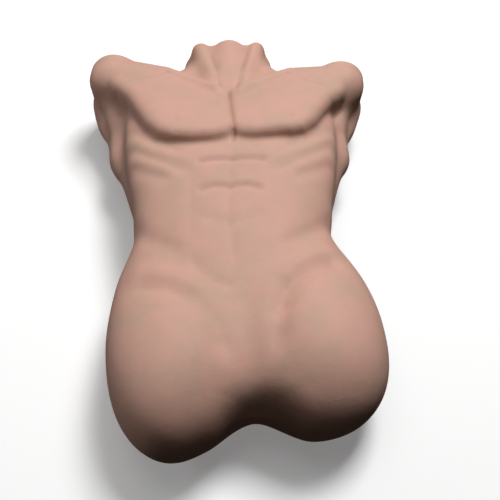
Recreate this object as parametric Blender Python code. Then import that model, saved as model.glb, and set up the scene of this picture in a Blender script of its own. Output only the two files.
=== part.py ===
"""Soft male torso mannequin, lying on its back.

A thick elastomer casting, open at the neck, is filled by foam cores that hold a steel skeleton.
Metres.  The front of the body faces +Z, the head end is +Y, and X runs across the body.
The origin is on the ground under the middle of the casting.

The body is laid out in its own frame first: straight, x from the midline, y up from the lowest point
of the thigh lobes, z up from the ground.  posed() then bends it at the waist and moves it to the origin.
"""
import math

import bmesh
import bpy
from mathutils import Matrix, Vector

# Driving dimensions of the body
NECK_CUT_Y = 0.678          # height of the flat cut through the neck
WAIST_Y = 0.30              # the hips swing sideways below this height
WAIST_BLEND = 0.14          # length over which the bend builds up
HIP_SWING = math.radians(6.0)
SWING_PIVOT_Y = 0.25
SHRUG = 0.020               # how far the -X shoulder rides up
MIDDLE = Vector((-0.0001, 0.3347, 0.0))  # the point of the body frame that becomes the origin

# Surface of the casting
VOXEL = 0.0065
BLEND_STEPS = 16            # smoothing passes that melt the masses into one skin
BLEND_FACTOR = 0.5
KEEP_SHARE = 0.105          # share of the remeshed faces that is kept

# Fits
GAP = 0.0003                # between touching pieces
SLACK = 0.0005              # between foam and metal
THROUGH = 0.1               # length of a cutter that passes right through
CLEAR = 0.002               # how far a cutter stands out of the face it opens
BEYOND = 0.6                # reach of the boxes that cut away a whole side

# Skeleton
SPINE_R, SPINE_WALL = 0.014, 0.002
SPINE_Z = 0.090
SPINE_Y = (0.095, 0.6547)
BAR_R, BAR_HALF, BAR_Z = 0.011, 0.080, 0.118
SHOULDER_BAR = (0.0, 0.520)  # x and y of a bar's middle
PELVIS_BAR = (0.008, 0.170)  # follows the swung hips
BLOCK_HALF_X, BLOCK_HALF_Y = 0.022, 0.018
BLOCK_Z = (0.068, 0.136)
BLOCK_BEVEL = 0.0015
DISC_R, DISC_T = 0.019, 0.004
SCREW_R, SCREW_LENGTH, SCREW_HEAD_R, SCREW_HEAD_T = 0.0025, 0.016, 0.006, 0.003
SCREW_OVERLAP = 0.001       # length of the shank inside its head
SET_SCREW_R, SET_SCREW_PROUD = 0.003, 0.002
PLUG_R, PLUG_LENGTH, PLUG_FLANGE_T = 0.0117, 0.030, 0.0045

# Neck end: the plate, and the M10 stud, washer and nut that hold it
PLATE_R, PLATE_T, PLATE_CHAMFER = 0.032, 0.018, 0.001
RECESS_R, RECESS_DEPTH = 0.0125, 0.0115
STUD_R, STUD_Y = 0.005, (0.620, 0.6775)
WASHER_R, WASHER_T = 0.0105, 0.002
NUT_FLATS, NUT_HEIGHT = 0.016, 0.008

# Cavity: height y, half width, lowest and highest z of its rounded sections
CAVITY = [
    (0.080, 0.095, 0.048, 0.128),
    (0.110, 0.130, 0.034, 0.148),
    (0.190, 0.132, 0.032, 0.150),
    (0.270, 0.112, 0.036, 0.148),
    (0.335, 0.106, 0.036, 0.150),
    (0.400, 0.116, 0.034, 0.158),
    (0.470, 0.122, 0.034, 0.162),
    (0.530, 0.118, 0.038, 0.150),
    (0.575, 0.098, 0.046, 0.128),
    (0.600, 0.066, 0.058, 0.116),
]
CAVITY_POWER = 2.6          # 2 is an ellipse, higher is squarer
CAVITY_POINTS = 28
NECK_BORE_OVERLAP = 0.02    # how far the neck's bore starts inside the cavity
CORE_SPLIT_Y = 0.335        # between chest and pelvis cores
CORE_SPLIT_Z = BAR_Z        # between front and back halves

# Sides of the round pieces
FINE_SIDES, SIDES, HEAD_SIDES, SCREW_SIDES = 32, 24, 16, 12
BALL_SIDES, BALL_RINGS = 32, 20
END_SIDES, END_RINGS = 20, 12
SHARP_ANGLE = math.radians(35)

# Masses of the casting.  Ellipsoids: centre, radii, turn about Z in degrees.
MIDDLE_ELLIPSOIDS = {
    "ribcage": ((0, 0.440, 0.098), (0.152, 0.175, 0.089), 0),
    "abdomen": ((0, 0.300, 0.096), (0.143, 0.200, 0.081), 0),
    "pelvis": ((0, 0.175, 0.092), (0.142, 0.112, 0.078), 0),
    "perineum": ((0, 0.104, 0.088), (0.085, 0.060, 0.074), 0),
    "upper_back": ((0, 0.455, 0.070), (0.158, 0.165, 0.0715), 0),
    "breastbone": ((0, 0.490, 0.108), (0.120, 0.085, 0.084), 0),
}
SIDE_ELLIPSOIDS = {
    "hip": ((0.100, 0.190, 0.088), (0.068, 0.110, 0.069), 8),
    "thigh_root": ((0.094, 0.115, 0.098), (0.086, 0.115, 0.085), 4),
    "buttock": ((0.090, 0.096, 0.070), (0.085, 0.098, 0.074), 4),
    "pectoral": ((0.074, 0.497, 0.140), (0.088, 0.080, 0.056), 18),
    "stump": ((0.170, 0.545, 0.060), (0.040, 0.064, 0.042), -10),
    "deltoid": ((0.174, 0.592, 0.104), (0.045, 0.048, 0.047), -20),
}
# Tapered rods: two ends, and the radius at each
MIDDLE_RODS = {
    "neck": ((0, 0.570, 0.086), (0, 0.700, 0.094), 0.064, 0.050),
    "windpipe": ((0, 0.555, 0.132), (0, 0.720, 0.127), 0.021, 0.023),
}
SIDE_RODS = {
    "girdle": ((0.020, 0.585, 0.094), (0.150, 0.588, 0.094), 0.057, 0.047),
    "lat": ((0.155, 0.525, 0.078), (0.112, 0.345, 0.076), 0.042, 0.034),
    "armpit_fold": ((0.115, 0.560, 0.140), (0.165, 0.590, 0.115), 0.034, 0.038),
    "neck_cord": ((0.012, 0.548, 0.148), (0.048, 0.715, 0.120), 0.010, 0.017),
}


# Frame

def smooth_step(t):
    t = min(max(t, 0.0), 1.0)
    return t * t * (3 - 2 * t)


def posed(point):
    """A point of the straight body, bent at the waist, shrugged, and moved to the origin."""
    p = Vector(point)
    angle = HIP_SWING * smooth_step((WAIST_Y - p.y) / WAIST_BLEND)
    dx, dy = p.x, p.y - SWING_PIVOT_Y
    p.x = dx * math.cos(angle) - dy * math.sin(angle)
    p.y = SWING_PIVOT_Y + dx * math.sin(angle) + dy * math.cos(angle)
    p.y += SHRUG * smooth_step((-p.x - 0.08) / 0.12) * min(max((p.y - 0.45) / 0.10, 0.0), 1.0)
    return p - MIDDLE


def placed(x, y, z):
    """A skeleton point: the straight body frame, moved to the origin without any bend."""
    return Vector((x, y, z)) - MIDDLE


# Objects and materials

def clear_scene():
    for obj in list(bpy.data.objects):
        bpy.data.objects.remove(obj, do_unlink=True)


def material(name, colour, roughness, metallic=0.0):
    made = bpy.data.materials.new(name)
    made.use_nodes = True
    shader = made.node_tree.nodes["Principled BSDF"]
    shader.inputs["Base Color"].default_value = (*colour, 1.0)
    shader.inputs["Roughness"].default_value = roughness
    shader.inputs["Metallic"].default_value = metallic
    made.diffuse_color = (*colour, 1.0)
    return made


def add_object(name, mesh_builder, finish=None, smooth=True):
    """An object from a bmesh, shaded smooth except at its sharp edges."""
    mesh = bpy.data.meshes.new(name)
    mesh_builder.to_mesh(mesh)
    mesh_builder.free()
    if smooth:
        mesh.shade_smooth()
        mesh.set_sharp_from_angle(angle=SHARP_ANGLE)
    obj = bpy.data.objects.new(name, mesh)
    bpy.context.scene.collection.objects.link(obj)
    if finish:
        mesh.materials.append(finish)
    return obj


def as_cutter(obj):
    obj.hide_render = True
    obj.display_type = "WIRE"
    return obj


def boolean(obj, other, operation="DIFFERENCE"):
    modifier = obj.modifiers.new(other.name, "BOOLEAN")
    modifier.operation = operation
    modifier.object = other
    modifier.solver = "EXACT"


def add_rod(mesh, centre, axis, radius, length, segments=SIDES):
    """A cylinder round a centre along a unit axis."""
    turn = Vector(axis).to_track_quat("Z", "Y").to_matrix().to_4x4()
    bmesh.ops.create_cone(
        mesh, cap_ends=True, segments=segments, radius1=radius, radius2=radius, depth=length,
        matrix=Matrix.Translation(centre) @ turn,
    )


def rod(name, centre, axis, radius, length, finish=None, segments=SIDES):
    mesh = bmesh.new()
    add_rod(mesh, centre, axis, radius, length, segments)
    return add_object(name, mesh, finish)


def box(name, low, high, finish=None, bevel=0.0):
    mesh = bmesh.new()
    low, high = Vector(low), Vector(high)
    size = high - low
    place = Matrix.Translation((low + high) / 2) @ Matrix.Diagonal((*size, 1.0))
    bmesh.ops.create_cube(mesh, size=1.0, matrix=place)
    if bevel:
        bmesh.ops.bevel(mesh, geom=mesh.edges[:], offset=bevel, segments=1, affect="EDGES")
    return add_object(name, mesh, finish, smooth=False)


def turned(name, centre, profile, finish, segments=SIDES):
    """A body turned about an axis along Y: profile is (radius, y) pairs round one closed section."""
    mesh = bmesh.new()
    rings = []
    for step in range(segments):
        angle = 2 * math.pi * step / segments
        ring = [
            mesh.verts.new(Vector(centre) + Vector((r * math.cos(angle), y, r * math.sin(angle))))
            for r, y in profile
        ]
        rings.append(ring)
    count = len(profile)
    for step in range(segments):
        near, far = rings[step], rings[(step + 1) % segments]
        for i in range(count):
            j = (i + 1) % count
            mesh.faces.new((near[i], near[j], far[j], far[i]))
    bmesh.ops.recalc_face_normals(mesh, faces=mesh.faces[:])
    return add_object(name, mesh, finish)


# Casting

def add_ellipsoid(mesh, centre, radii, turn):
    place = (
        Matrix.Translation(centre)
        @ Matrix.Rotation(math.radians(turn), 4, "Z")
        @ Matrix.Diagonal((*radii, 1.0))
    )
    bmesh.ops.create_uvsphere(
        mesh, u_segments=BALL_SIDES, v_segments=BALL_RINGS, radius=1.0, matrix=place
    )


def add_tapered_rod(mesh, start, end, start_r, end_r):
    """A rod with round ends: the hull of a ball at each end."""
    verts = []
    for centre, radius in ((start, start_r), (end, end_r)):
        ball = bmesh.ops.create_uvsphere(
            mesh, u_segments=END_SIDES, v_segments=END_RINGS, radius=radius,
            matrix=Matrix.Translation(centre),
        )
        verts += ball["verts"]
    hull = bmesh.ops.convex_hull(mesh, input=verts)
    inner = [item for item in hull["geom_interior"] if isinstance(item, bmesh.types.BMVert)]
    bmesh.ops.delete(mesh, geom=inner, context="VERTS")


def mirrored(point):
    return (-point[0], point[1], point[2])


def masses():
    """Every mass of the body as overlapping closed shapes, already posed."""
    mesh = bmesh.new()
    for centre, radii, turn in MIDDLE_ELLIPSOIDS.values():
        add_ellipsoid(mesh, centre, radii, turn)
    for centre, radii, turn in SIDE_ELLIPSOIDS.values():
        add_ellipsoid(mesh, centre, radii, turn)
        add_ellipsoid(mesh, mirrored(centre), radii, -turn)
    for start, end, start_r, end_r in MIDDLE_RODS.values():
        add_tapered_rod(mesh, start, end, start_r, end_r)
    for start, end, start_r, end_r in SIDE_RODS.values():
        add_tapered_rod(mesh, start, end, start_r, end_r)
        add_tapered_rod(mesh, mirrored(start), mirrored(end), start_r, end_r)
    for vert in mesh.verts:
        vert.co = posed(vert.co)
    return mesh


def cavity_mesh(shrink=0.0, low_y=0.0, high_y=1.0):
    """The hollow for the cores: rounded sections joined along y, cut short at low_y and high_y."""
    stations = [s for s in CAVITY if low_y < s[0] < high_y]
    for y in (low_y, high_y):
        before = [s for s in CAVITY if s[0] <= y]
        after = [s for s in CAVITY if s[0] >= y]
        if before and after:
            a, b = before[-1], after[0]
            t = (y - a[0]) / (b[0] - a[0]) if b[0] > a[0] else 0.0
            stations.append(tuple(p + t * (q - p) for p, q in zip(a, b)))
    stations.sort()
    stations[0] = (stations[0][0] + shrink, *stations[0][1:])
    stations[-1] = (stations[-1][0] - shrink, *stations[-1][1:])
    mesh = bmesh.new()
    rings = []
    for y, half, low, high in stations:
        half, tall = half - shrink, (high - low) / 2 - shrink
        ring = []
        for step in range(CAVITY_POINTS):
            angle = 2 * math.pi * step / CAVITY_POINTS
            c, s = math.cos(angle), math.sin(angle)
            x = half * math.copysign(abs(c) ** (2 / CAVITY_POWER), c)
            z = (low + high) / 2 + tall * math.copysign(abs(s) ** (2 / CAVITY_POWER), s)
            ring.append(mesh.verts.new(posed((x, y, z))))
        rings.append(ring)
    for near, far in zip(rings, rings[1:]):
        for i in range(CAVITY_POINTS):
            j = (i + 1) % CAVITY_POINTS
            mesh.faces.new((near[i], near[j], far[j], far[i]))
    mesh.faces.new(rings[0])
    mesh.faces.new(rings[-1])
    bmesh.ops.triangulate(mesh, faces=mesh.faces[:])
    bmesh.ops.recalc_face_normals(mesh, faces=mesh.faces[:])
    return mesh


def make_casting(finish):
    """The outer body: the masses blended to one skin, cut flat below and at the neck, and hollowed."""
    body = add_object("torso_skin", masses(), finish)
    remesh = body.modifiers.new("one_skin", "REMESH")
    remesh.mode = "VOXEL"
    remesh.voxel_size = VOXEL
    remesh.use_smooth_shade = True
    blend = body.modifiers.new("blend", "SMOOTH")
    blend.factor = BLEND_FACTOR
    blend.iterations = BLEND_STEPS
    fewer = body.modifiers.new("fewer", "DECIMATE")
    fewer.ratio = KEEP_SHARE

    ground = as_cutter(box("ground_cutter", (-BEYOND, -BEYOND, -BEYOND), (BEYOND, BEYOND, 0.0)))
    boolean(body, ground)
    above_neck = as_cutter(box(
        "neck_cutter", placed(-BEYOND, NECK_CUT_Y, -BEYOND), placed(BEYOND, NECK_CUT_Y + BEYOND, BEYOND),
    ))
    boolean(body, above_neck)
    cavity = as_cutter(add_object("cavity_cutter", cavity_mesh()))
    boolean(body, cavity)
    bore_start = CAVITY[-1][0] - NECK_BORE_OVERLAP
    bore = as_cutter(rod(
        "neck_bore_cutter", placed(0, (bore_start + NECK_CUT_Y) / 2, SPINE_Z), (0, 1, 0),
        SPINE_R + GAP, NECK_CUT_Y - bore_start + 2 * CLEAR,
    ))
    boolean(body, bore)
    pocket_low, pocket_high = NECK_CUT_Y - PLATE_T - GAP, NECK_CUT_Y + CLEAR
    pocket = as_cutter(rod(
        "neck_pocket_cutter", placed(0, (pocket_low + pocket_high) / 2, SPINE_Z), (0, 1, 0),
        PLATE_R + GAP, pocket_high - pocket_low, segments=FINE_SIDES,
    ))
    boolean(body, pocket)
    return body


# Neck end

def make_neck_end(zinc, plastic):
    back_y = NECK_CUT_Y - PLATE_T
    floor_y = NECK_CUT_Y - RECESS_DEPTH
    hole = STUD_R + GAP
    turned("neck_plate", placed(0, 0, SPINE_Z), [
        (hole, back_y), (PLATE_R, back_y), (PLATE_R, NECK_CUT_Y - PLATE_CHAMFER),
        (PLATE_R - PLATE_CHAMFER, NECK_CUT_Y), (RECESS_R, NECK_CUT_Y), (RECESS_R, floor_y),
        (hole, floor_y),
    ], plastic, segments=FINE_SIDES)
    rod("neck_stud", placed(0, sum(STUD_Y) / 2, SPINE_Z), (0, 1, 0), STUD_R,
        STUD_Y[1] - STUD_Y[0], zinc)
    washer_y = floor_y + GAP
    turned("neck_washer", placed(0, 0, SPINE_Z), [
        (hole, washer_y), (WASHER_R, washer_y), (WASHER_R, washer_y + WASHER_T),
        (hole, washer_y + WASHER_T),
    ], zinc)
    nut_y = washer_y + WASHER_T + GAP
    nut = rod("neck_nut", placed(0, nut_y + NUT_HEIGHT / 2, SPINE_Z), (0, 1, 0),
              NUT_FLATS / math.sqrt(3), NUT_HEIGHT, zinc, segments=6)
    boolean(nut, as_cutter(rod("nut_hole_cutter", placed(0, nut_y, SPINE_Z), (0, 1, 0), hole, THROUGH)))


# Skeleton

def make_spine(steel, zinc):
    low, high = SPINE_Y
    inner = SPINE_R - SPINE_WALL
    turned("spine_tube", placed(0, 0, SPINE_Z), [
        (inner, low), (SPINE_R, low), (SPINE_R, high), (inner, high),
    ], steel)
    hole = STUD_R + GAP
    flange = high + GAP
    turned("spine_plug_upper", placed(0, 0, SPINE_Z), [
        (hole, high - PLUG_LENGTH), (PLUG_R, high - PLUG_LENGTH), (PLUG_R, flange), (SPINE_R, flange),
        (SPINE_R, flange + PLUG_FLANGE_T), (hole, flange + PLUG_FLANGE_T),
    ], zinc)
    mesh = bmesh.new()
    add_rod(mesh, placed(0, low + PLUG_LENGTH / 2 - GAP, SPINE_Z), (0, 1, 0), PLUG_R, PLUG_LENGTH)
    add_object("spine_plug_lower", mesh, zinc)


def make_cross_bar(level, side_names, bar_name, middle, steel, zinc, aluminium):
    """A cross bar in front of the spine, its clamp block, and a screwed disc on each end."""
    bar_x, bar_y = middle
    bar = rod(bar_name, placed(bar_x, bar_y, BAR_Z), (1, 0, 0), BAR_R, 2 * BAR_HALF, steel)
    block = box(
        f"clamp_block_{level}", placed(-BLOCK_HALF_X, bar_y - BLOCK_HALF_Y, BLOCK_Z[0]),
        placed(BLOCK_HALF_X, bar_y + BLOCK_HALF_Y, BLOCK_Z[1]), aluminium,
        bevel=BLOCK_BEVEL,
    )
    holes = (
        ("spine", (0, 1, 0), SPINE_Z, SPINE_R + GAP),
        ("bar", (1, 0, 0), BAR_Z, BAR_R + GAP),
    )
    for what, axis, z, radius in holes:
        cutter = rod(f"{level}_{what}_hole_cutter", placed(0, bar_y, z), axis, radius, THROUGH)
        boolean(block, as_cutter(cutter))

    set_screws = (
        ("spine", BLOCK_Z[0] - SET_SCREW_PROUD, SPINE_Z - SPINE_R - GAP),
        ("bar", BAR_Z + BAR_R + GAP, BLOCK_Z[1] + SET_SCREW_PROUD),
    )
    for what, low, high in set_screws:
        centre = placed(0, bar_y, (low + high) / 2)
        rod(f"set_screw_{level}_{what}", centre, (0, 0, 1), SET_SCREW_R, high - low, zinc,
            segments=SCREW_SIDES)
        cutter = rod(f"{level}_{what}_screw_cutter", centre, (0, 0, 1), SET_SCREW_R + GAP,
                     high - low + 2 * CLEAR, segments=SCREW_SIDES)
        boolean(block, as_cutter(cutter))

    for side, sign in (("left", 1), ("right", -1)):
        disc_x = BAR_HALF + GAP + DISC_T / 2
        axis = (sign, 0, 0)
        disc = rod(f"{side_names}_disc_{side}", placed(bar_x + sign * disc_x, bar_y, BAR_Z), axis,
                   DISC_R, DISC_T, steel)
        head_x = disc_x + DISC_T / 2 + GAP
        mesh = bmesh.new()
        add_rod(mesh, placed(bar_x + sign * (head_x + SCREW_HEAD_T / 2), bar_y, BAR_Z), axis,
                SCREW_HEAD_R, SCREW_HEAD_T, HEAD_SIDES)
        screw = add_object(f"disc_screw_{side_names}_{side}", mesh, zinc)
        shank = rod(f"{side_names}_{side}_shank_cutter",
                    placed(bar_x + sign * (head_x + SCREW_OVERLAP - SCREW_LENGTH / 2), bar_y, BAR_Z),
                    axis, SCREW_R, SCREW_LENGTH, segments=SCREW_SIDES)
        boolean(screw, as_cutter(shank), "UNION")
        hole = as_cutter(rod(f"{side_names}_{side}_screw_hole_cutter",
                             placed(bar_x + sign * head_x, bar_y, BAR_Z), axis,
                             SCREW_R + GAP, 2 * SCREW_LENGTH, segments=SCREW_SIDES))
        boolean(disc, hole)
        boolean(bar, hole)


# Foam cores

def core_cutters(level, middle):
    """Everything a foam half is cut away for at one cross bar."""
    bar_x, bar_y = middle
    slot_x = SPINE_R + SLACK
    cutters = [
        rod(f"{level}_foam_spine_cutter", placed(0, NECK_CUT_Y / 2, SPINE_Z), (0, 1, 0), slot_x,
            NECK_CUT_Y),
        box(f"{level}_foam_slot_cutter", placed(-slot_x, 0, SPINE_Z),
            placed(slot_x, NECK_CUT_Y, CORE_SPLIT_Z + CLEAR)),
        rod(f"{level}_foam_bar_cutter", placed(bar_x, bar_y, BAR_Z), (1, 0, 0), BAR_R + SLACK,
            2 * (BAR_HALF + CLEAR)),
        box(f"{level}_foam_block_cutter",
            placed(-BLOCK_HALF_X - SLACK, bar_y - BLOCK_HALF_Y - SLACK, BLOCK_Z[0] - SLACK),
            placed(BLOCK_HALF_X + SLACK, bar_y + BLOCK_HALF_Y + SLACK, BLOCK_Z[1] + SLACK)),
        rod(f"{level}_foam_set_screw_cutter", placed(0, bar_y, sum(BLOCK_Z) / 2), (0, 0, 1),
            SET_SCREW_R + SLACK, BLOCK_Z[1] - BLOCK_Z[0] + 2 * (SET_SCREW_PROUD + SLACK),
            segments=SCREW_SIDES),
    ]
    for side, sign in (("left", 1), ("right", -1)):
        disc_x = BAR_HALF + GAP + DISC_T / 2
        cutters.append(rod(f"{level}_foam_disc_cutter_{side}",
                           placed(bar_x + sign * disc_x, bar_y, BAR_Z),
                           (1, 0, 0), DISC_R + SLACK, DISC_T + 2 * SLACK))
        head_x = disc_x + DISC_T / 2
        cutters.append(rod(f"{level}_foam_head_cutter_{side}",
                           placed(bar_x + sign * head_x, bar_y, BAR_Z),
                           (1, 0, 0), SCREW_HEAD_R + SLACK, 2 * (SCREW_HEAD_T + SLACK + GAP),
                           segments=HEAD_SIDES))
    return [as_cutter(c) for c in cutters]


def make_cores(foam):
    front = as_cutter(box(
        "front_half_cutter", (-BEYOND, -BEYOND, CORE_SPLIT_Z - GAP / 2), (BEYOND, BEYOND, BEYOND),
    ))
    back = as_cutter(box(
        "back_half_cutter", (-BEYOND, -BEYOND, -BEYOND), (BEYOND, BEYOND, CORE_SPLIT_Z + GAP / 2),
    ))
    levels = (
        ("chest", CORE_SPLIT_Y, 1.0, SHOULDER_BAR),
        ("pelvis", 0.0, CORE_SPLIT_Y, PELVIS_BAR),
    )
    for level, low_y, high_y, middle in levels:
        cutters = core_cutters(level, middle)
        for half, removed in (("front", back), ("back", front)):
            core = add_object(f"{level}_core_{half}", cavity_mesh(SLACK, low_y, high_y), foam)
            boolean(core, removed)
            for cutter in cutters:
                boolean(core, cutter)


def main():
    clear_scene()
    elastomer = material("soft_elastomer", (0.60, 0.37, 0.28), 0.45)
    foam = material("core_foam", (0.78, 0.74, 0.62), 0.95)
    steel = material("spine_steel", (0.42, 0.43, 0.45), 0.35, 1.0)
    zinc = material("zinc_fastener", (0.62, 0.63, 0.66), 0.30, 1.0)
    aluminium = material("clamp_aluminium", (0.70, 0.70, 0.72), 0.40, 1.0)
    plastic = material("neck_plate_plastic", (0.05, 0.05, 0.055), 0.50)

    make_casting(elastomer)
    make_neck_end(zinc, plastic)
    make_spine(steel, zinc)
    make_cross_bar("upper", "shoulder", "shoulder_bar", SHOULDER_BAR, steel, zinc, aluminium)
    make_cross_bar("lower", "hip", "pelvis_bar", PELVIS_BAR, steel, zinc, aluminium)
    make_cores(foam)


main()
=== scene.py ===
"""Looks of the soft torso mannequin: one moulded elastomer skin over the CAD frame, and its finishes.

The skin is laid out in the body's own frame: x from the midline (the two halves match), y up the
body from the lowest point of the thigh lobes, z up from the ground it lies on.  It is a blend of
round masses, meshed, given its furrows and tendons, bent at the waist, and moved to the CAD's place.
"""

import math

import bpy
import numpy as np
from mathutils import Matrix, Vector


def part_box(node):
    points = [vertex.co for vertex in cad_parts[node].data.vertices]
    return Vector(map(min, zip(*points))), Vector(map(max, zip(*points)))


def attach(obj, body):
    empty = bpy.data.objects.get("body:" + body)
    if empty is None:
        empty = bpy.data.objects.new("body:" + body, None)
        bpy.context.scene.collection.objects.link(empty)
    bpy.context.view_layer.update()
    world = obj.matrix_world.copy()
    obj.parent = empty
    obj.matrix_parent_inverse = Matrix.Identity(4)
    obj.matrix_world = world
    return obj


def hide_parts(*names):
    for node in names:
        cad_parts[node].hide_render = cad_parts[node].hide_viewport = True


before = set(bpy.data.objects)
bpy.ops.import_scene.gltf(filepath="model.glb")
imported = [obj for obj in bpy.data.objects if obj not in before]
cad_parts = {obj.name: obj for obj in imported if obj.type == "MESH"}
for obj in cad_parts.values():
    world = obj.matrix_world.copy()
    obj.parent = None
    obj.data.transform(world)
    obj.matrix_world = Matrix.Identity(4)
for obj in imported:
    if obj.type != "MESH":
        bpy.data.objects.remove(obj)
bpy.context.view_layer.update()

# Body, in metres in its own frame
NECK_CUT_Y = 0.678
WAIST_Y, WAIST_BLEND = 0.345, 0.15     # the bend starts here, and is complete this much lower
HIP_SWING = math.radians(6.5)
SWING_PIVOT_Y = 0.24
SHRUG = 0.026               # how much higher the -X shoulder is
HITCH = 0.011               # how much higher the +X thigh lobe ends
TUCK = 0.016                # how much higher the body ends a little to the -X side of its middle
NARROWING = 0.012           # how much slimmer the body is below the +X armpit
CHEST_LIFT = 0.007          # how much higher the +X chest's lower border is
CHEST_ROUNDING, PELVIS_ROUNDING = 0.004, 0.014     # how softly the two halves meet
# The front's middle line: how far up, and how far it strays to the +X side
MIDLINE = [(0.22, 0.0), (0.30, -0.003), (0.36, -0.003), (0.41, 0.0025), (0.45, 0.0030), (0.49, 0.0010),
           (0.53, 0.0), (0.60, 0.001), (0.68, 0.002)]
PLATE_CLEARANCE = 0.0006    # gap round the neck plate and behind it
LEAN = 0.001                # how far the chest's sides lean to the -X side
GRID = 0.00303              # spacing of the grid that the skin is meshed on
BLOCK = 4                   # grid steps in one block of the coarse search
SEARCH_REACH = 2.5          # blocks from the surface within which the field is worked out
SLOPE_STEP = 0.0005         # half the step over which the field's slope is taken
SETTLE_DAMPING = 0.1        # keeps a vertex from jumping where the field is nearly level
GRID_LOW = np.array((0.0, -0.03, -0.03))
GRID_HIGH = np.array((0.24, 0.72, 0.25))

plate_low, plate_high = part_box("neck_plate")
BODY_TO_FRAME = Vector((
    (plate_low.x + plate_high.x) / 2, plate_high.y - NECK_CUT_Y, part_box("torso_skin")[0].z,
))

# Camera, at the photograph's angle
CAMERA_TARGET = Vector((0.023, 0.303, 0.08))   # in the body's frame
CAMERA_AZIMUTH, CAMERA_ELEVATION, CAMERA_ROLL = -3.0, 55.0, 1.0
CAMERA_DISTANCE = 1.22
CAMERA_LENS, CAMERA_SENSOR = 61.1, 36.0

# Finishes
METAL_SHARE = 0.6           # below 1, so that dull metal isn't black in a room with little to reflect

# Studio
STUDIO_HALF, STUDIO_HEIGHT = 4.0, 5.0
FLOOR_DROP = 0.0005         # how far the floor is below the body
FLOOR_GLOW, WALL_GLOW = 0.20, 0.62
WORLD_COLOUR, WORLD_STRENGTH = (1.0, 0.88, 0.78, 1), 0.022


# Round masses: each returns the distance of the points to its surface, negative inside

def turn_z(degrees):
    a = math.radians(degrees)
    return np.array(((math.cos(a), -math.sin(a), 0), (math.sin(a), math.cos(a), 0), (0, 0, 1)))


def ellipsoid(p, centre, radii, turn=0.0):
    q = (p - np.array(centre)) @ turn_z(turn)
    r = np.array(radii)
    near = np.sqrt(((q / r) ** 2).sum(-1))
    slope = np.sqrt(((q / r ** 2) ** 2).sum(-1)) + 1e-9
    return near * (near - 1) / slope


def rod(p, start, end, start_r, end_r):
    start, end = np.array(start), np.array(end)
    run = end - start
    t = np.clip(((p - start) @ run) / (run @ run), 0, 1)
    return np.sqrt((((p - start) - t[:, None] * run) ** 2).sum(-1)) - (start_r + (end_r - start_r) * t)


def join(a, b, blend):
    h = np.maximum(blend - np.abs(a - b), 0) / blend
    return np.minimum(a, b) - h * h * blend / 4


def cut(a, b, blend):
    """What is inside both a and b."""
    return -join(-a, -b, blend)


def smooth(t):
    t = np.clip(t, 0, 1)
    return t * t * (3 - 2 * t)


def bump(t):
    return np.exp(-t * t)


def along(x, y, points):
    """Distance to a line of points in the front plane, how far along it, and the side it is on."""
    points = np.array(points, float)
    runs = np.diff(points, axis=0)
    lengths = np.hypot(*runs.T)
    before = np.concatenate(([0], np.cumsum(lengths)))
    best, where, side = np.full(x.shape, 1e9), np.zeros(x.shape), np.zeros(x.shape)
    for start, run, length, passed in zip(points, runs, lengths, before):
        dx, dy = x - start[0], y - start[1]
        t = np.clip((dx * run[0] + dy * run[1]) / length ** 2, 0, 1)
        gap = np.hypot(dx - t * run[0], dy - t * run[1])
        nearer = gap < best
        best = np.where(nearer, gap, best)
        where = np.where(nearer, (passed + t * length) / before[-1], where)
        side = np.where(nearer, np.sign(run[0] * dy - run[1] * dx), side)
    return best, where, side


def arc(centre, radius, start, end, pieces=8):
    """Points on part of a circle in the front plane; its angles are in degrees, anticlockwise from +x."""
    angles = np.radians(np.linspace(start, end, pieces + 1))
    return [(centre[0] + radius * math.cos(a), centre[1] + radius * math.sin(a)) for a in angles]


def profile(at, stations):
    """Smooth curves through the stations: the first column is where, the others are the values."""
    stations = np.array(stations, float)
    places, values = stations[:, 0], stations[:, 1:]
    slopes = np.gradient(values, places, axis=0)
    i = np.clip(np.searchsorted(places, at) - 1, 0, len(places) - 2)
    step = (places[i + 1] - places[i])[:, None]
    t = np.clip((at - places[i])[:, None] / step, 0, 1)
    a, b = values[i], values[i + 1]
    leave, arrive = slopes[i] * step, slopes[i + 1] * step
    return a + t * (leave + t * (3 * (b - a) - 2 * leave - arrive + t * (2 * (a - b) + leave + arrive)))


def loft(p, stations):
    """A body along y of rounded box sections; its stations: y, half width, low z, high z, squareness."""
    width, low, high, power = profile(p[:, 1], stations).T
    half = (high - low) / 2
    u, v = np.abs(p[:, 0]) / width, np.abs(p[:, 2] - (low + high) / 2) / half
    near = (u ** power + v ** power) ** (1 / power) + 1e-6
    slope = np.hypot((u / near) ** (power - 1) / width, (v / near) ** (power - 1) / half)
    return (near - 1) / (slope + 1e-9)


TRUNK = [
    (0.04, 0.090, 0.040, 0.120, 2.5), (0.10, 0.115, 0.020, 0.146, 2.5), (0.17, 0.130, 0.010, 0.163, 2.5),
    (0.24, 0.138, 0.014, 0.169, 2.5), (0.30, 0.140, 0.018, 0.171, 2.6), (0.35, 0.144, 0.016, 0.173, 2.9),
    (0.41, 0.154, 0.010, 0.175, 3.4), (0.47, 0.161, 0.004, 0.171, 3.7), (0.53, 0.160, 0.004, 0.158, 3.4),
    (0.58, 0.138, 0.010, 0.142, 2.6), (0.62, 0.105, 0.020, 0.128, 2.5), (0.66, 0.060, 0.036, 0.120, 2.5),
]
CHEST_FRONT = [(0.0, 0.1870), (0.03, 0.1893), (0.07, 0.190), (0.11, 0.186), (0.15, 0.173), (0.185, 0.158),
               (0.215, 0.135)]
PECTORAL_BORDER = [
    (-0.020, 0.446), (0.000, 0.440), (0.012, 0.433), (0.030, 0.4285), (0.060, 0.427), (0.088, 0.431),
    (0.107, 0.441), (0.126, 0.464), (0.142, 0.496), (0.156, 0.521), (0.172, 0.536), (0.195, 0.546),
    (0.240, 0.556),
]


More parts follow.
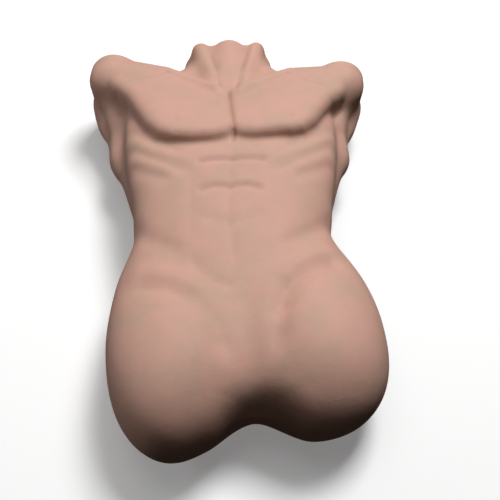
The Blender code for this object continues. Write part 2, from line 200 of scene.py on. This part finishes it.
def trunk(p):
    d = cut(loft(p, TRUNK), 0.035 - p[:, 1], 0.06)
    d = cut(d, p[:, 1] - 0.65, 0.04)
    d = join(d, ellipsoid(p, (0.106, 0.206, 0.088), (0.065, 0.112, 0.066), 8), 0.016)   # hip
    d = join(d, ellipsoid(p, (0.094, 0.115, 0.098), (0.084, 0.112, 0.082), 4), 0.05)    # thigh root
    d = join(d, ellipsoid(p, (0.090, 0.096, 0.066), (0.082, 0.092, 0.074), 4), 0.03)    # buttock
    return join(d, rod(p, (0.02, 0.586, 0.090), (0.145, 0.581, 0.088), 0.054, 0.034), 0.03)


def back_sheet(p):
    """A broad sheet that narrows to the waist; its edges are the lats."""
    d = ellipsoid(p, (0, 0.455, 0.070), (0.148, 0.175, 0.070))
    d = join(d, ellipsoid(p, (0.088, 0.505, 0.044), (0.060, 0.088, 0.047), 8), 0.03)    # shoulder blade
    d = join(d, rod(p, (0.168, 0.585, 0.098), (0.164, 0.535, 0.087), 0.030, 0.029), 0.03)
    d = join(d, rod(p, (0.164, 0.535, 0.087), (0.158, 0.480, 0.072), 0.029, 0.026), 0.01)
    return join(d, rod(p, (0.158, 0.480, 0.072), (0.112, 0.360, 0.070), 0.026, 0.020), 0.02)


def chest_plate(p):
    """The chest's front, raised inside the muscle's border and carried out to the shoulder."""
    x, y, z = p.T
    gap, _, side = along(x, y, PECTORAL_BORDER)
    front = profile(x, CHEST_FRONT)[:, 0] - (0.058 - 0.29 * x) * smooth((y - 0.45) / 0.17)
    d = cut(0.94 * (z - front), -side * gap, 0.019)
    d = cut(d, y - 0.628 + 0.10 * x, 0.05)
    d = cut(d, x - 0.205, 0.04)
    return cut(d, 0.09 - z, 0.02)


def shoulder(p):
    """The rounded stump of the upper arm, longer behind than in front."""
    d = rod(p, (0.172, 0.587, 0.056), (0.183, 0.586, 0.118), 0.043, 0.038)
    return join(d, rod(p, (0.173, 0.592, 0.052), (0.176, 0.562, 0.050), 0.038, 0.032), 0.02)


def with_neck(p, d):
    d = join(d, rod(p, (0.004, 0.57, 0.074), (0.006, 0.70, 0.076), 0.078, 0.0650), 0.022)
    hollow = ellipsoid(p, (0, 0.572, 0.168), (0.026, 0.026, 0.020))                 # above the breastbone
    d = cut(d, -hollow, 0.020)
    hollow = ellipsoid(p, (0.054, 0.602, 0.166), (0.036, 0.018, 0.021), 22)         # above the collar bone
    d = cut(d, -hollow, 0.020)
    d = join(d, rod(p, (0, 0.560, 0.138), (0, 0.72, 0.128), 0.012, 0.017), 0.010)             # windpipe
    d = join(d, rod(p, (0.011, 0.545, 0.149), (0.052, 0.700, 0.124), 0.006, 0.013), 0.018)    # cord
    return join(d, rod(p, (0.013, 0.548, 0.152), (0.095, 0.586, 0.149), 0.007, 0.006), 0.012)  # collar bone


def torso(points):
    p = points.copy()
    below = smooth((0.30 - p[:, 1]) / 0.10)
    p[:, 0] = np.hypot(p[:, 0], CHEST_ROUNDING + (PELVIS_ROUNDING - CHEST_ROUNDING) * below)
    d = join(trunk(p), back_sheet(p), 0.016)
    behind = np.maximum(smooth((0.095 - p[:, 2]) / 0.03), smooth((p[:, 1] - 0.585) / 0.03))
    d = join(d, shoulder(p), 0.026 + 0.036 * behind)
    collar = rod(p, (0.095, 0.556, 0.125), (0.150, 0.580, 0.120), 0.030, 0.032)
    d = join(d, join(chest_plate(p), collar, 0.02), 0.006)
    d = with_neck(p, d)
    d = cut(d, p[:, 1] - NECK_CUT_Y, 0.010)
    valley = rod(p, (0, -0.018, 0.02), (0, 0.001, 0.17), 0.046, 0.041)              # between the lobes
    d = cut(d, -valley, 0.030)
    d = cut(d, -pocket(p), 0.0015)
    return cut(d, -p[:, 2], 0.006)                                                  # the ground


def pocket(p):
    """The round recess in the neck's end that the end plate sits in."""
    plate_middle = np.array((0, (plate_low.z + plate_high.z) / 2 - BODY_TO_FRAME.z))
    radius = (plate_high.x - plate_low.x) / 2 + PLATE_CLEARANCE
    floor = NECK_CUT_Y - (plate_high.y - plate_low.y) - PLATE_CLEARANCE
    round_wall = np.hypot(*(p[:, (0, 2)] - plate_middle).T) - radius
    return np.maximum(round_wall, floor - p[:, 1])


# Meshing

def sample(field, low, high, step):
    """The field on a grid, worked out only near the surface, and taken from coarse blocks elsewhere."""
    blocks = np.ceil((high - low) / (step * BLOCK)).astype(int)
    axes = [low[i] + (np.arange(blocks[i]) + 0.5) * step * BLOCK for i in range(3)]
    centres = np.stack(np.meshgrid(*axes, indexing="ij"), -1).reshape(-1, 3)
    coarse = field(centres).reshape(blocks)
    values = coarse.repeat(BLOCK, 0).repeat(BLOCK, 1).repeat(BLOCK, 2)
    near = np.argwhere(np.abs(values) < SEARCH_REACH * step * BLOCK)
    values[tuple(near.T)] = field(low + near * step)
    return values


def surface(values, low, step):
    """Quads on the zero surface of a grid: one vertex in each cell that the surface crosses."""
    inside = values < 0
    corners = [(i, j, k) for i in (0, 1) for j in (0, 1) for k in (0, 1)]
    shape = [n - 1 for n in values.shape]
    count = np.zeros(shape, np.int8)
    for i, j, k in corners:
        count += inside[i:shape[0] + i, j:shape[1] + j, k:shape[2] + k]
    crossed = (count > 0) & (count < 8)
    cells = np.argwhere(crossed)
    number = np.full(shape, -1)
    number[crossed] = np.arange(len(cells))

    total, hits = np.zeros((len(cells), 3)), np.zeros(len(cells))
    for corner in corners:
        for axis in range(3):
            if corner[axis]:
                continue
            other = list(corner)
            other[axis] = 1
            a = values[tuple((cells + corner).T)]
            b = values[tuple((cells + other).T)]
            crosses = (a < 0) != (b < 0)
            t = np.where(crosses, a / (a - b + 1e-20), 0)
            point = np.array(corner, float) + t[:, None] * (np.array(other, float) - corner)
            total += point * crosses[:, None]
            hits += crosses
    verts = (cells + total / hits[:, None]) * step + low

    quads = []
    for axis in range(3):
        u, v = np.eye(3, dtype=int)[(axis + 1) % 3], np.eye(3, dtype=int)[(axis + 2) % 3]
        first = [slice(1, n - 1) for n in values.shape]
        second = list(first)
        first[axis] = slice(0, values.shape[axis] - 1)
        second[axis] = slice(1, values.shape[axis])
        near, far = inside[tuple(first)], inside[tuple(second)]
        edges = np.argwhere(near != far)
        cell = edges + 1 - np.eye(3, dtype=int)[axis]
        quad = np.stack([number[tuple((cell - s).T)] for s in (u + v, v, 0 * u, u)], 1)
        flipped = far[tuple(edges.T)]
        quad[flipped] = quad[flipped][:, ::-1]
        quads.append(quad)
    return verts, np.concatenate(quads)


def vertex_normals(verts, quads):
    a, b, c, d = (verts[quads[:, i]] for i in range(4))
    face = np.cross(c - a, d - b)
    total = np.zeros_like(verts)
    for i in range(4):
        np.add.at(total, quads[:, i], face)
    return total / (np.linalg.norm(total, axis=1, keepdims=True) + 1e-12)


def settle(verts, field, times=2):
    """Moves vertices onto the zero surface along the field's slope."""
    for _ in range(times):
        value = field(verts)
        slope = np.stack([
            (field(verts + SLOPE_STEP * axis) - field(verts - SLOPE_STEP * axis)) / (2 * SLOPE_STEP)
            for axis in np.eye(3)
        ], 1)
        steepness = (slope ** 2).sum(1)[:, None]
        verts = verts - np.clip(value, -GRID, GRID)[:, None] * slope / (steepness + SETTLE_DAMPING)
    return verts


# Relief: lines in the front plane, their half width, and their height (below zero is a furrow)
FRONT_LINES = [
    ([(0.0, 0.20), (0.0, 0.44)], 0.007, -0.0014),                                   # midline
    ([(0.0, 0.418), (0.0, 0.560)], 0.0032, -0.0056),                                # breastbone
    ([(-0.02, 0.394), (0.025, 0.395), (0.056, 0.391)], 0.0055, -0.0032),             # belly tendons
    ([(-0.02, 0.344), (0.022, 0.349), (0.052, 0.341)], 0.0060, -0.0030),
    ([(-0.02, 0.285), (0.010, 0.288), (0.030, 0.296), (0.054, 0.306)], 0.009, -0.0014),
    ([(0.056, 0.400), (0.055, 0.330), (0.056, 0.250)], 0.010, -0.0012),             # edge of the belly muscle
    ([(0.156, 0.484), (0.134, 0.454), (0.108, 0.431), (0.064, 0.409)], 0.010, -0.0024),     # ribs
    ([(0.156, 0.466), (0.132, 0.438), (0.110, 0.420), (0.075, 0.402)], 0.010, 0.0016),
    ([(0.156, 0.454), (0.132, 0.423), (0.114, 0.408), (0.085, 0.390), (0.050, 0.372)], 0.010, -0.0028),
    ([(0.154, 0.434), (0.128, 0.408), (0.108, 0.393), (0.080, 0.378)], 0.010, 0.0016),
    ([(0.152, 0.414), (0.127, 0.389), (0.105, 0.376), (0.080, 0.364)], 0.010, -0.0022),
    ([(0.150, 0.325), (0.1395, 0.314), (0.116, 0.284), (0.094, 0.267), (0.060, 0.246)], 0.012, -0.0028),
    ([(0.158, 0.200), (0.123, 0.208), (0.092, 0.198), (0.062, 0.173), (0.042, 0.140), (0.030, 0.070)],
     0.014, -0.0052),                                                               # groin
    ([(0.150, 0.236), (0.110, 0.232), (0.075, 0.208), (0.048, 0.180)], 0.016, 0.0030),
    ([(0.085, 0.592), (0.092, 0.578), (0.118, 0.556), (0.152, 0.545)], 0.004, -0.0012),    # shoulder
    ([(0.000, 0.543), (0.050, 0.569), (0.110, 0.594)], 0.0045, 0.0030),             # collar bone
    ([(0.004, 0.520), (0.0185, 0.593), (0.0280, 0.637), (0.0380, 0.700)],
     0.0060, -0.0034),                                                              # beside the windpipe
    ([(0.018, 0.590), (0.0235, 0.640), (0.0270, 0.740)], 0.0070, -0.0034),
]
ONE_SIDED_LINES = [
    (arc((0.150, 0.110), 0.111, 90, 173), 0.013, -0.0042),                          # deepens the +X groin
    (arc((0.0, 0.246), 0.055, 180, 270), 0.009, -0.0022),                           # lower edge of the belly
]
BACK_LINES = [
    ([(0.0, 0.10), (0.0, 0.64)], 0.012, -0.0070),                                   # spine
    ([(0.040, 0.20), (0.034, 0.30), (0.040, 0.40)], 0.016, 0.0030),                 # muscles beside it
    ([(0.048, 0.575), (0.056, 0.520), (0.066, 0.440)], 0.010, -0.0050),             # blade's inner edge
    ([(0.060, 0.440), (0.095, 0.408), (0.135, 0.420), (0.165, 0.470)], 0.012, -0.0050),    # its lower edge
    ([(0.050, 0.585), (0.100, 0.570), (0.140, 0.560)], 0.009, -0.0040),             # blade's spine
    ([(0.030, 0.225), (0.044, 0.218)], 0.008, -0.0030),                             # dimple
    ([(-0.02, 0.185), (0.030, 0.205), (0.085, 0.222), (0.125, 0.205)], 0.014, -0.0040),    # top of the seat
]
LINE_END = 0.2              # share of a line over which its end fades
FACING_OVERLAP, FACING_FADE = 0.1, 0.5     # how front and back relief share the sides, by the normal's z
NIPPLES, NIPPLE_R, NIPPLE_H = ((-0.074, 0.463), (0.092, 0.465)), 0.0035, 0.0016


def line_heights(x, y, lines):
    height = np.zeros(x.shape)
    for points, half_width, tall in lines:
        gap, where, _ = along(x, y, points)
        fade = smooth(np.minimum(where, 1 - where) / LINE_END)
        height += tall * bump(gap / half_width) * fade
    return height


def relief(verts, normals):
    x, y = np.abs(verts[:, 0]), verts[:, 1]
    in_front = np.clip((normals[:, 2] + FACING_OVERLAP) / FACING_FADE, 0, 1)
    behind = np.clip((FACING_OVERLAP - normals[:, 2]) / FACING_FADE, 0, 1)
    height = line_heights(x, y, FRONT_LINES) * in_front + line_heights(x, y, BACK_LINES) * behind
    height += line_heights(verts[:, 0], y, ONE_SIDED_LINES) * in_front
    for place in NIPPLES:
        height += NIPPLE_H * bump(np.hypot(verts[:, 0] - place[0], y - place[1]) / NIPPLE_R) * in_front
    out = verts + normals * height[:, None]
    out[:, 2] = np.maximum(out[:, 2], 0)
    return out


def posed(verts):
    """Bends the body at the waist, lifts the -X shoulder, and undoes the halves' exact symmetry."""
    out = verts.copy()
    angle = HIP_SWING * smooth((WAIST_Y - verts[:, 1]) / WAIST_BLEND)
    dx, dy = verts[:, 0], verts[:, 1] - SWING_PIVOT_Y
    x = dx * np.cos(angle) - dy * np.sin(angle)
    y = SWING_PIVOT_Y + dx * np.sin(angle) + dy * np.cos(angle)
    out[:, 0] = x - LEAN * smooth((y - 0.40) / 0.20) * smooth((np.abs(x) - 0.05) / 0.08)
    out[:, 0] += profile(y, MIDLINE)[:, 0] * bump(x / 0.07) * smooth((verts[:, 2] - 0.05) / 0.10)
    out[:, 0] -= NARROWING * bump((y - 0.530) / 0.060) * smooth((x - 0.165) / 0.045)
    out[:, 1] = y + SHRUG * smooth((-x - 0.04) / 0.16) * np.clip((y - 0.45) / 0.10, 0, 1)
    out[:, 1] += CHEST_LIFT * bump((x - 0.068) / 0.038) * bump((y - 0.430) / 0.030)
    out[:, 1] += HITCH * smooth((x - 0.02) / 0.12) * smooth((0.14 - y) / 0.14)
    out[:, 1] += TUCK * bump((x + 0.030) / 0.050) * smooth((0.16 - y) / 0.18)
    return out


def make_torso():
    values = sample(torso, GRID_LOW, GRID_HIGH, GRID)
    values = np.concatenate((values[:0:-1], values), 0)
    low = GRID_LOW - np.array((GRID * (len(values) // 2), 0, 0))
    verts, quads = surface(values, low, GRID)
    verts = settle(verts, torso)
    verts = relief(verts, vertex_normals(verts, quads))
    verts = posed(verts)
    mesh = bpy.data.meshes.new("torso")
    mesh.from_pydata(verts.tolist(), [], quads.tolist())
    mesh.validate()
    mesh.shade_smooth()
    piece = bpy.data.objects.new("torso", mesh)
    bpy.context.scene.collection.objects.link(piece)
    piece.data.transform(Matrix.Translation(BODY_TO_FRAME))
    return piece


# Finishes

def material(name, colour, roughness, metallic=0.0):
    """A principled material to build on, and its nodes, links and shader."""
    made = bpy.data.materials.new(name)
    made.use_nodes = True
    nodes, links = made.node_tree.nodes, made.node_tree.links
    shader = nodes["Principled BSDF"]
    shader.inputs["Base Color"].default_value = (*colour, 1.0)
    shader.inputs["Roughness"].default_value = roughness
    shader.inputs["Metallic"].default_value = metallic
    return made, nodes, links, shader


def noise(nodes, links, place, scale, detail=3.0, roughness=0.5):
    """Noise in the object's own metres, so that its grain keeps its size."""
    node = nodes.new("ShaderNodeTexNoise")
    node.inputs["Scale"].default_value = scale
    node.inputs["Detail"].default_value = detail
    node.inputs["Roughness"].default_value = roughness
    links.new(place.outputs["Object"], node.inputs["Vector"])
    return node.outputs["Fac"]


def spread(nodes, links, value, low, high, to_low=0.0, to_high=1.0):
    """The value's range from low to high, stretched to a new range."""
    node = nodes.new("ShaderNodeMapRange")
    for name, number in (("From Min", low), ("From Max", high), ("To Min", to_low), ("To Max", to_high)):
        node.inputs[name].default_value = number
    links.new(value, node.inputs["Value"])
    return node.outputs["Result"]


def mix_colour(nodes, links, factor, first, second):
    """Mixes two colours, each a socket or three numbers."""
    node = nodes.new("ShaderNodeMix")
    node.data_type = "RGBA"
    links.new(factor, node.inputs["Factor"])
    for name, colour in (("A", first), ("B", second)):
        socket = [s for s in node.inputs if s.name == name and s.type == "RGBA"][0]
        if isinstance(colour, tuple):
            socket.default_value = (*colour, 1.0)
        else:
            links.new(colour, socket)
    return [s for s in node.outputs if s.type == "RGBA"][0]


def bump_map(nodes, links, height, distance, strength, under=None):
    node = nodes.new("ShaderNodeBump")
    node.inputs["Distance"].default_value = distance
    node.inputs["Strength"].default_value = strength
    links.new(height, node.inputs["Height"])
    if under:
        links.new(under, node.inputs["Normal"])
    return node.outputs["Normal"]


def elastomer():
    """Powdered soft elastomer: beige with pinker patches, painted shade darkening the folds, fine moulded
    pores.
    """
    made, nodes, links, shader = material("soft_elastomer_looks", (0.62, 0.376, 0.292), 0.62)
    place = nodes.new("ShaderNodeTexCoord")
    patches = spread(nodes, links, noise(nodes, links, place, 14.0, 2.0), 0.38, 0.62)
    blotches = spread(nodes, links, noise(nodes, links, place, 46.0, 3.0), 0.40, 0.60)
    colour = mix_colour(nodes, links, patches, (0.590, 0.372, 0.282), (0.650, 0.378, 0.300))
    pinker = spread(nodes, links, blotches, 0.0, 1.0, 0.0, 0.35)
    colour = mix_colour(nodes, links, pinker, colour, (0.690, 0.390, 0.312))
    geometry = nodes.new("ShaderNodeNewGeometry")
    # painted shade: the colour turns darker and browner where the surface is hollow, in folds and creases
    painted_fold_shade = spread(nodes, links, geometry.outputs["Pointiness"], 0.440, 0.497, 0.55, 0.0)
    colour = mix_colour(nodes, links, painted_fold_shade, colour, (0.350, 0.185, 0.135))
    links.new(colour, shader.inputs["Base Color"])

    pores = nodes.new("ShaderNodeTexVoronoi")
    pores.inputs["Scale"].default_value = 900.0
    links.new(place.outputs["Object"], pores.inputs["Vector"])
    grain = noise(nodes, links, place, 420.0, 4.0, 0.6)
    ripple = noise(nodes, links, place, 60.0, 2.0)
    normal = bump_map(nodes, links, ripple, 0.0012, 0.35)
    normal = bump_map(nodes, links, grain, 0.0003, 0.5, normal)
    normal = bump_map(nodes, links, pores.outputs["Distance"], 0.00015, 0.5, normal)
    links.new(normal, shader.inputs["Normal"])
    links.new(spread(nodes, links, grain, 0.3, 0.7, 0.56, 0.72), shader.inputs["Roughness"])
    shader.inputs["Specular IOR Level"].default_value = 0.32
    shader.inputs["Subsurface Weight"].default_value = 0.15
    shader.inputs["Subsurface Radius"].default_value = (1.0, 0.45, 0.30)
    shader.inputs["Subsurface Scale"].default_value = 0.008
    return made


def moulded_plastic():
    """Black moulded plastic with a spark-eroded texture, greyer where it has been handled."""
    made, nodes, links, shader = material("neck_plate_looks", (0.030, 0.030, 0.033), 0.45)
    place = nodes.new("ShaderNodeTexCoord")
    texture = noise(nodes, links, place, 900.0, 3.0)
    worn = spread(nodes, links, noise(nodes, links, place, 55.0, 4.0), 0.50, 0.75)
    links.new(mix_colour(nodes, links, worn, (0.026, 0.026, 0.029), (0.060, 0.060, 0.063)),
              shader.inputs["Base Color"])
    links.new(spread(nodes, links, texture, 0.3, 0.7, 0.38, 0.60), shader.inputs["Roughness"])
    links.new(bump_map(nodes, links, texture, 0.0002, 0.5), shader.inputs["Normal"])
    return made


def metal(name, bright, dull, roughness, grain_scale, stretch=(1.0, 1.0, 1.0)):
    """Bare or plated metal: clouded colour, and a grain that can be drawn out into brush marks."""
    made, nodes, links, shader = material(name, bright, roughness, METAL_SHARE)
    place = nodes.new("ShaderNodeTexCoord")
    drawn = nodes.new("ShaderNodeMapping")
    drawn.inputs["Scale"].default_value = stretch
    links.new(place.outputs["Object"], drawn.inputs["Vector"])
    grain = nodes.new("ShaderNodeTexNoise")
    grain.inputs["Scale"].default_value = grain_scale
    grain.inputs["Detail"].default_value = 4.0
    links.new(drawn.outputs["Vector"], grain.inputs["Vector"])
    clouds = spread(nodes, links, noise(nodes, links, place, 40.0, 4.0), 0.35, 0.70)
    links.new(mix_colour(nodes, links, clouds, bright, dull), shader.inputs["Base Color"])
    links.new(spread(nodes, links, grain.outputs["Fac"], 0.3, 0.7, roughness - 0.08, roughness + 0.14),
              shader.inputs["Roughness"])
    links.new(bump_map(nodes, links, grain.outputs["Fac"], 0.0001, 0.4), shader.inputs["Normal"])
    return made


def foam():
    """Open-cell foam: cream, yellowing in patches, pitted by its cells, with painted shade darkening each
    pit.
    """
    made, nodes, links, shader = material("core_foam_looks", (0.78, 0.74, 0.62), 0.95)
    place = nodes.new("ShaderNodeTexCoord")
    cells = nodes.new("ShaderNodeTexVoronoi")
    cells.inputs["Scale"].default_value = 650.0
    links.new(place.outputs["Object"], cells.inputs["Vector"])
    yellowed = spread(nodes, links, noise(nodes, links, place, 22.0, 4.0), 0.40, 0.65)
    colour = mix_colour(nodes, links, yellowed, (0.80, 0.765, 0.66), (0.74, 0.66, 0.46))
    # painted shade: the colour turns darker towards the middle of each cell, where the bump sinks a pit
    painted_pit_shade = spread(nodes, links, cells.outputs["Distance"], 0.0, 0.5, 0.45, 0.0)
    links.new(mix_colour(nodes, links, painted_pit_shade, colour, (0.42, 0.37, 0.27)), shader.inputs["Base Color"])
    links.new(spread(nodes, links, cells.outputs["Distance"], 0.0, 0.6, 0.98, 0.88),
              shader.inputs["Roughness"])
    links.new(bump_map(nodes, links, cells.outputs["Distance"], 0.0008, 0.8), shader.inputs["Normal"])
    return made


def finish_cad_nodes():
    """Gives every node that keeps its CAD shape the finish of its slot."""
    finishes = {
        "neck_plate_plastic": moulded_plastic(),
        "zinc_fastener": metal("zinc_looks", (0.64, 0.65, 0.68), (0.50, 0.50, 0.50), 0.30, 500.0),
        "spine_steel": metal("brushed_steel_looks", (0.50, 0.50, 0.52), (0.36, 0.35, 0.34), 0.32, 600.0,
                             (1.0, 0.04, 1.0)),
        "clamp_aluminium": metal("milled_aluminium_looks", (0.74, 0.74, 0.76), (0.60, 0.60, 0.62), 0.36,
                                 700.0, (0.06, 1.0, 1.0)),
        "core_foam": foam(),
    }
    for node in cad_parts.values():
        slot = node.data.materials[0].name.split(".")[0]
        if slot in finishes:
            node.data.materials[0] = finishes[slot]


piece = make_torso()
piece.data.materials.append(elastomer())
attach(piece, "root")
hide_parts("torso_skin")
finish_cad_nodes()


# Studio

def stage_object(name, corners, faces, glow):
    """Part of the studio: pale paint that glows a little, but doesn't light the body."""
    mesh = bpy.data.meshes.new(name)
    mesh.from_pydata(corners, [], faces)
    stage = bpy.data.objects.new(name, mesh)
    bpy.context.scene.collection.objects.link(stage)
    finish = bpy.data.materials.new(name + "_paint")
    finish.use_nodes = True
    shader = finish.node_tree.nodes["Principled BSDF"]
    shader.inputs["Base Color"].default_value = (0.93, 0.93, 0.93, 1.0)
    shader.inputs["Roughness"].default_value = 0.9
    shader.inputs["Emission Color"].default_value = (1.0, 1.0, 1.0, 1.0)
    shader.inputs["Emission Strength"].default_value = glow
    mesh.materials.append(finish)
    stage.visible_diffuse = False
    stage.visible_glossy = False
    return stage


def make_studio():
    """A floor just below the body, and four plain walls far round it."""
    half = STUDIO_HALF
    square = ((-half, -half), (half, -half), (half, half), (-half, half))
    stage_object("floor", [(x, y, -FLOOR_DROP) for x, y in square], [(0, 1, 2, 3)], FLOOR_GLOW)
    corners = [(x, y, z) for z in (-FLOOR_DROP, STUDIO_HEIGHT) for x, y in square]
    faces = [(i, (i + 1) % 4, (i + 1) % 4 + 4, i + 4) for i in range(4)]
    walls = stage_object("walls", corners, faces, WALL_GLOW)
    walls.visible_shadow = False


def area_light(name, place, aim, size, power):
    data = bpy.data.lights.new(name, "AREA")
    data.energy, data.size = power, size
    light = bpy.data.objects.new(name, data)
    light.location = place
    light.rotation_euler = (Vector(aim) - Vector(place)).to_track_quat("-Z", "Y").to_euler()
    bpy.context.scene.collection.objects.link(light)


def make_lights():
    area_light("key", (0.86, 1.12, 2.94), (0, 0.05, 0.1), 1.1, 86)
    area_light("side", (-1.9, 0.30, 0.7), (0, 0.05, 0.1), 0.8, 7.0)
    area_light("top", (-0.2, 0.3, 2.4), (0, 0.0, 0.1), 1.5, 8)
    world = bpy.data.worlds.new("studio")
    world.use_nodes = True
    background = world.node_tree.nodes["Background"]
    background.inputs["Color"].default_value = WORLD_COLOUR
    background.inputs["Strength"].default_value = WORLD_STRENGTH
    bpy.context.scene.world = world
    bpy.context.scene.view_settings.view_transform = "Standard"


def make_camera():
    azimuth, elevation = math.radians(CAMERA_AZIMUTH), math.radians(CAMERA_ELEVATION)
    back = Vector((math.sin(azimuth) * math.cos(elevation), -math.cos(azimuth) * math.cos(elevation),
                   math.sin(elevation)))
    target = CAMERA_TARGET + BODY_TO_FRAME
    data = bpy.data.cameras.new("camera")
    data.lens, data.sensor_width = CAMERA_LENS, CAMERA_SENSOR
    camera = bpy.data.objects.new("camera", data)
    look = (-back).to_track_quat("-Z", "Y").to_matrix().to_4x4()
    camera.matrix_world = (
        Matrix.Translation(target + back * CAMERA_DISTANCE)
        @ look @ Matrix.Rotation(math.radians(CAMERA_ROLL), 4, "Z")
    )
    bpy.context.scene.collection.objects.link(camera)
    bpy.context.scene.camera = camera


make_studio()
make_lights()
make_camera()
